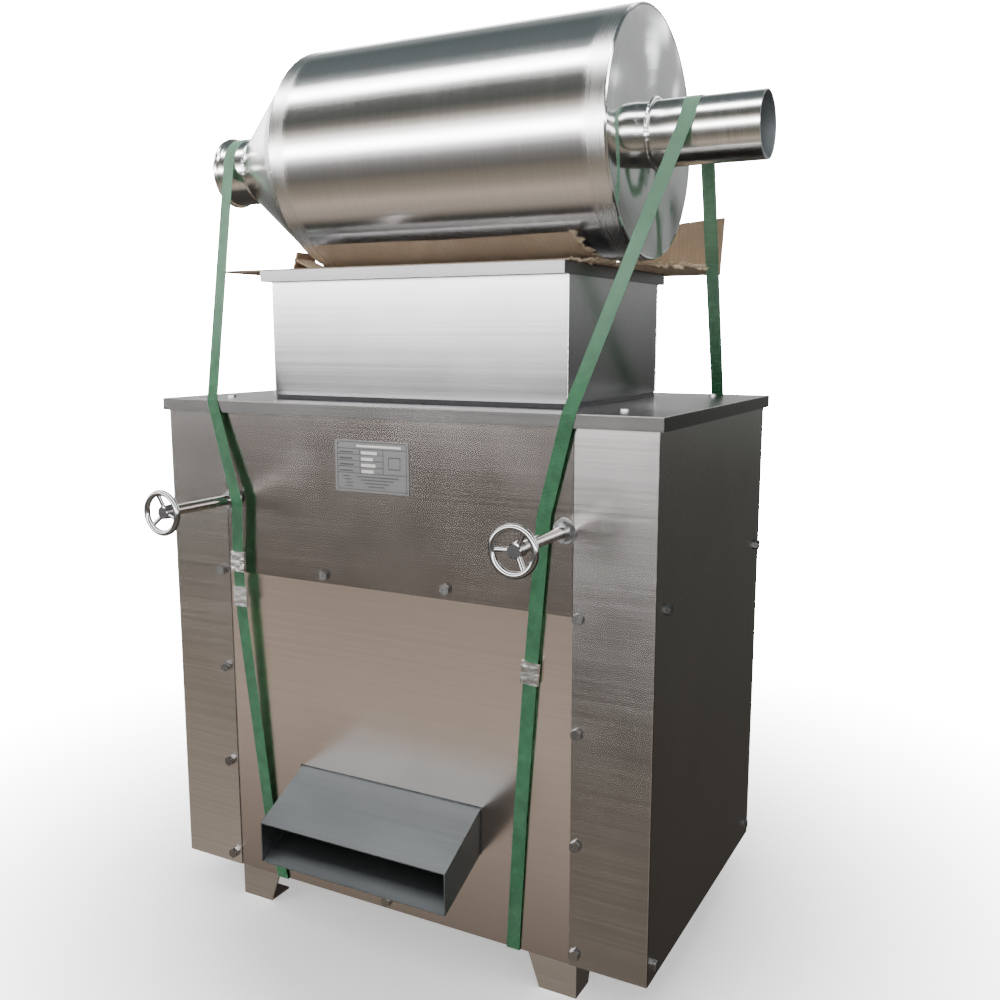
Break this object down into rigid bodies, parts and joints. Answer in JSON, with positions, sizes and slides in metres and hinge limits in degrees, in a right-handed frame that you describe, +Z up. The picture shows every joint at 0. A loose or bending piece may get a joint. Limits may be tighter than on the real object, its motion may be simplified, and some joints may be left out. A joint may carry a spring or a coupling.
{
  "type": "grape crusher destemmer",
  "caption": "Stainless grape crusher destemmer with hopper, roller gap handwheels and must chute, strapped for transport with a closed drum on top.",
  "frame": {"origin": "on the floor, under the centre of the whole machine's bounding box", "axes": "+X to the right seen from the front, +Y to the back, +Z up"},
  "size_m": [0.849, 0.6693, 1.2615],
  "materials": {
    "cabinet_steel": "brushed stainless sheet",
    "panel_steel": "brushed stainless sheet, warm grey",
    "hopper_steel": "fine brushed stainless sheet",
    "inner_steel": "mill finish stainless sheet",
    "chute_steel": "dull cold rolled sheet, bluish",
    "drum_steel": "rolled stainless with brushed weld bands",
    "mirror_steel": "polished stainless",
    "pipe_steel": "polished tube",
    "turned_steel": "turned bar",
    "screw_steel": "bright stainless fasteners",
    "gear_steel": "oiled steel",
    "wheel_chrome": "chrome plated",
    "plate_aluminium": "satin plate with engraved rules",
    "pulley_iron": "machined grey iron",
    "motor_paint": "blue enamel",
    "bearing_plastic": "food grade plastic",
    "roller_rubber": "moulded food grade rubber",
    "paddle_rubber": "moulded pale rubber",
    "belt_rubber": "belt rubber",
    "gasket_rubber": "black sponge strip",
    "card": "brown corrugated board",
    "strap_green": "embossed strapping tape",
    "seal_steel": "crimped zinc plated"
  },
  "bodies": {
    "cabinet": {"base_plate": "inner_steel", "feet": "cabinet_steel", "left_side_cover": "cabinet_steel", "right_side_cover": "cabinet_steel", "left_inner_plate": "inner_steel", "right_inner_plate": "inner_steel", "front_upper_panel": "panel_steel", "front_lower_panel": "panel_steel", "front_rail": "inner_steel", "back_panel": "panel_steel", "top_cover": "cabinet_steel", "cover_screws": "screw_steel", "nameplate": "plate_aluminium", "nameplate_rivets": "plate_aluminium", "hopper": "hopper_steel", "hopper_gasket": "gasket_rubber", "feed_throat": "inner_steel", "panel_washers": "screw_steel", "panel_nuts": "screw_steel", "block_guides": "bearing_plastic", "rear_roller_bearings": "bearing_plastic", "beater_bearings": "pulley_iron", "destemming_screen": "inner_steel", "stem_chute": "chute_steel", "must_tray": "inner_steel", "discharge_chute": "chute_steel", "motor_body": "motor_paint", "motor_fan_cover": "motor_paint", "motor_terminal_box": "motor_paint", "motor_base": "motor_paint", "beater_belt": "belt_rubber", "roller_belt": "belt_rubber", "drum_shell": "drum_steel", "drum_cone": "drum_steel", "inlet_stub": "pipe_steel", "drum_end_plate": "mirror_steel", "outlet_pipe": "pipe_steel", "card_sheet": "card", "strap_left": "strap_green", "strap_right": "strap_green", "strap_seals": "seal_steel"},
    "bearing_blocks": {"left_bearing_block": "bearing_plastic", "right_bearing_block": "bearing_plastic"},
    "left_screw": {"left_adjusting_screw": "turned_steel", "left_handwheel": "wheel_chrome"},
    "right_screw": {"right_adjusting_screw": "turned_steel", "right_handwheel": "wheel_chrome"},
    "front_roller_set": {"front_roller": "roller_rubber", "front_roller_shaft": "turned_steel", "front_gear": "gear_steel"},
    "rear_roller_set": {"rear_roller": "roller_rubber", "rear_roller_shaft": "turned_steel", "rear_gear": "gear_steel", "roller_pulley": "pulley_iron"},
    "beater": {"beater_shaft": "turned_steel", "beater_paddles": "paddle_rubber", "beater_pulley": "pulley_iron"},
    "motor_rotor": {"motor_shaft": "turned_steel", "motor_pulley": "pulley_iron"}
  },
  "joints": [
    {"name": "left_screw_turn", "type": "hinge", "parent": "bearing_blocks", "child": "left_screw", "pos_m": [-0.2985, -0.19255, 0.623], "axis": [0, 1, 0], "range_deg": [-360, 360]},
    {"name": "right_screw_turn", "type": "hinge", "parent": "bearing_blocks", "child": "right_screw", "pos_m": [0.2335, -0.19255, 0.623], "axis": [0, 1, 0], "range_deg": [-360, 360]},
    {"name": "roller_gap", "type": "slide", "parent": "cabinet", "child": "bearing_blocks", "axis": [0, 1, 0], "range_m": [-0.004, 0.004]},
    {"name": "rear_roller_spin", "type": "hinge", "parent": "cabinet", "child": "rear_roller_set", "pos_m": [-0.0325, 0.10065, 0.623], "axis": [1, 0, 0], "continuous": true},
    {"name": "front_roller_spin", "type": "hinge", "parent": "bearing_blocks", "child": "front_roller_set", "pos_m": [-0.0325, -0.02335, 0.623], "axis": [1, 0, 0], "continuous": true},
    {"name": "beater_spin", "type": "hinge", "parent": "cabinet", "child": "beater", "pos_m": [-0.0325, 0.04665, 0.38], "axis": [1, 0, 0], "continuous": true},
    {"name": "motor_spin", "type": "hinge", "parent": "cabinet", "child": "motor_rotor", "pos_m": [-0.0325, 0.16665, 0.141], "axis": [1, 0, 0], "continuous": true}
  ],
  "couplings": [
    {"joint": "left_screw_turn", "follows": "roller_gap", "rad_per_m": 1570.8},
    {"joint": "right_screw_turn", "follows": "roller_gap", "rad_per_m": 1570.8},
    {"joint": "front_roller_spin", "follows": "rear_roller_spin", "ratio": -1},
    {"joint": "beater_spin", "follows": "rear_roller_spin", "ratio": 2},
    {"joint": "motor_spin", "follows": "rear_roller_spin", "ratio": 5}
  ]
}
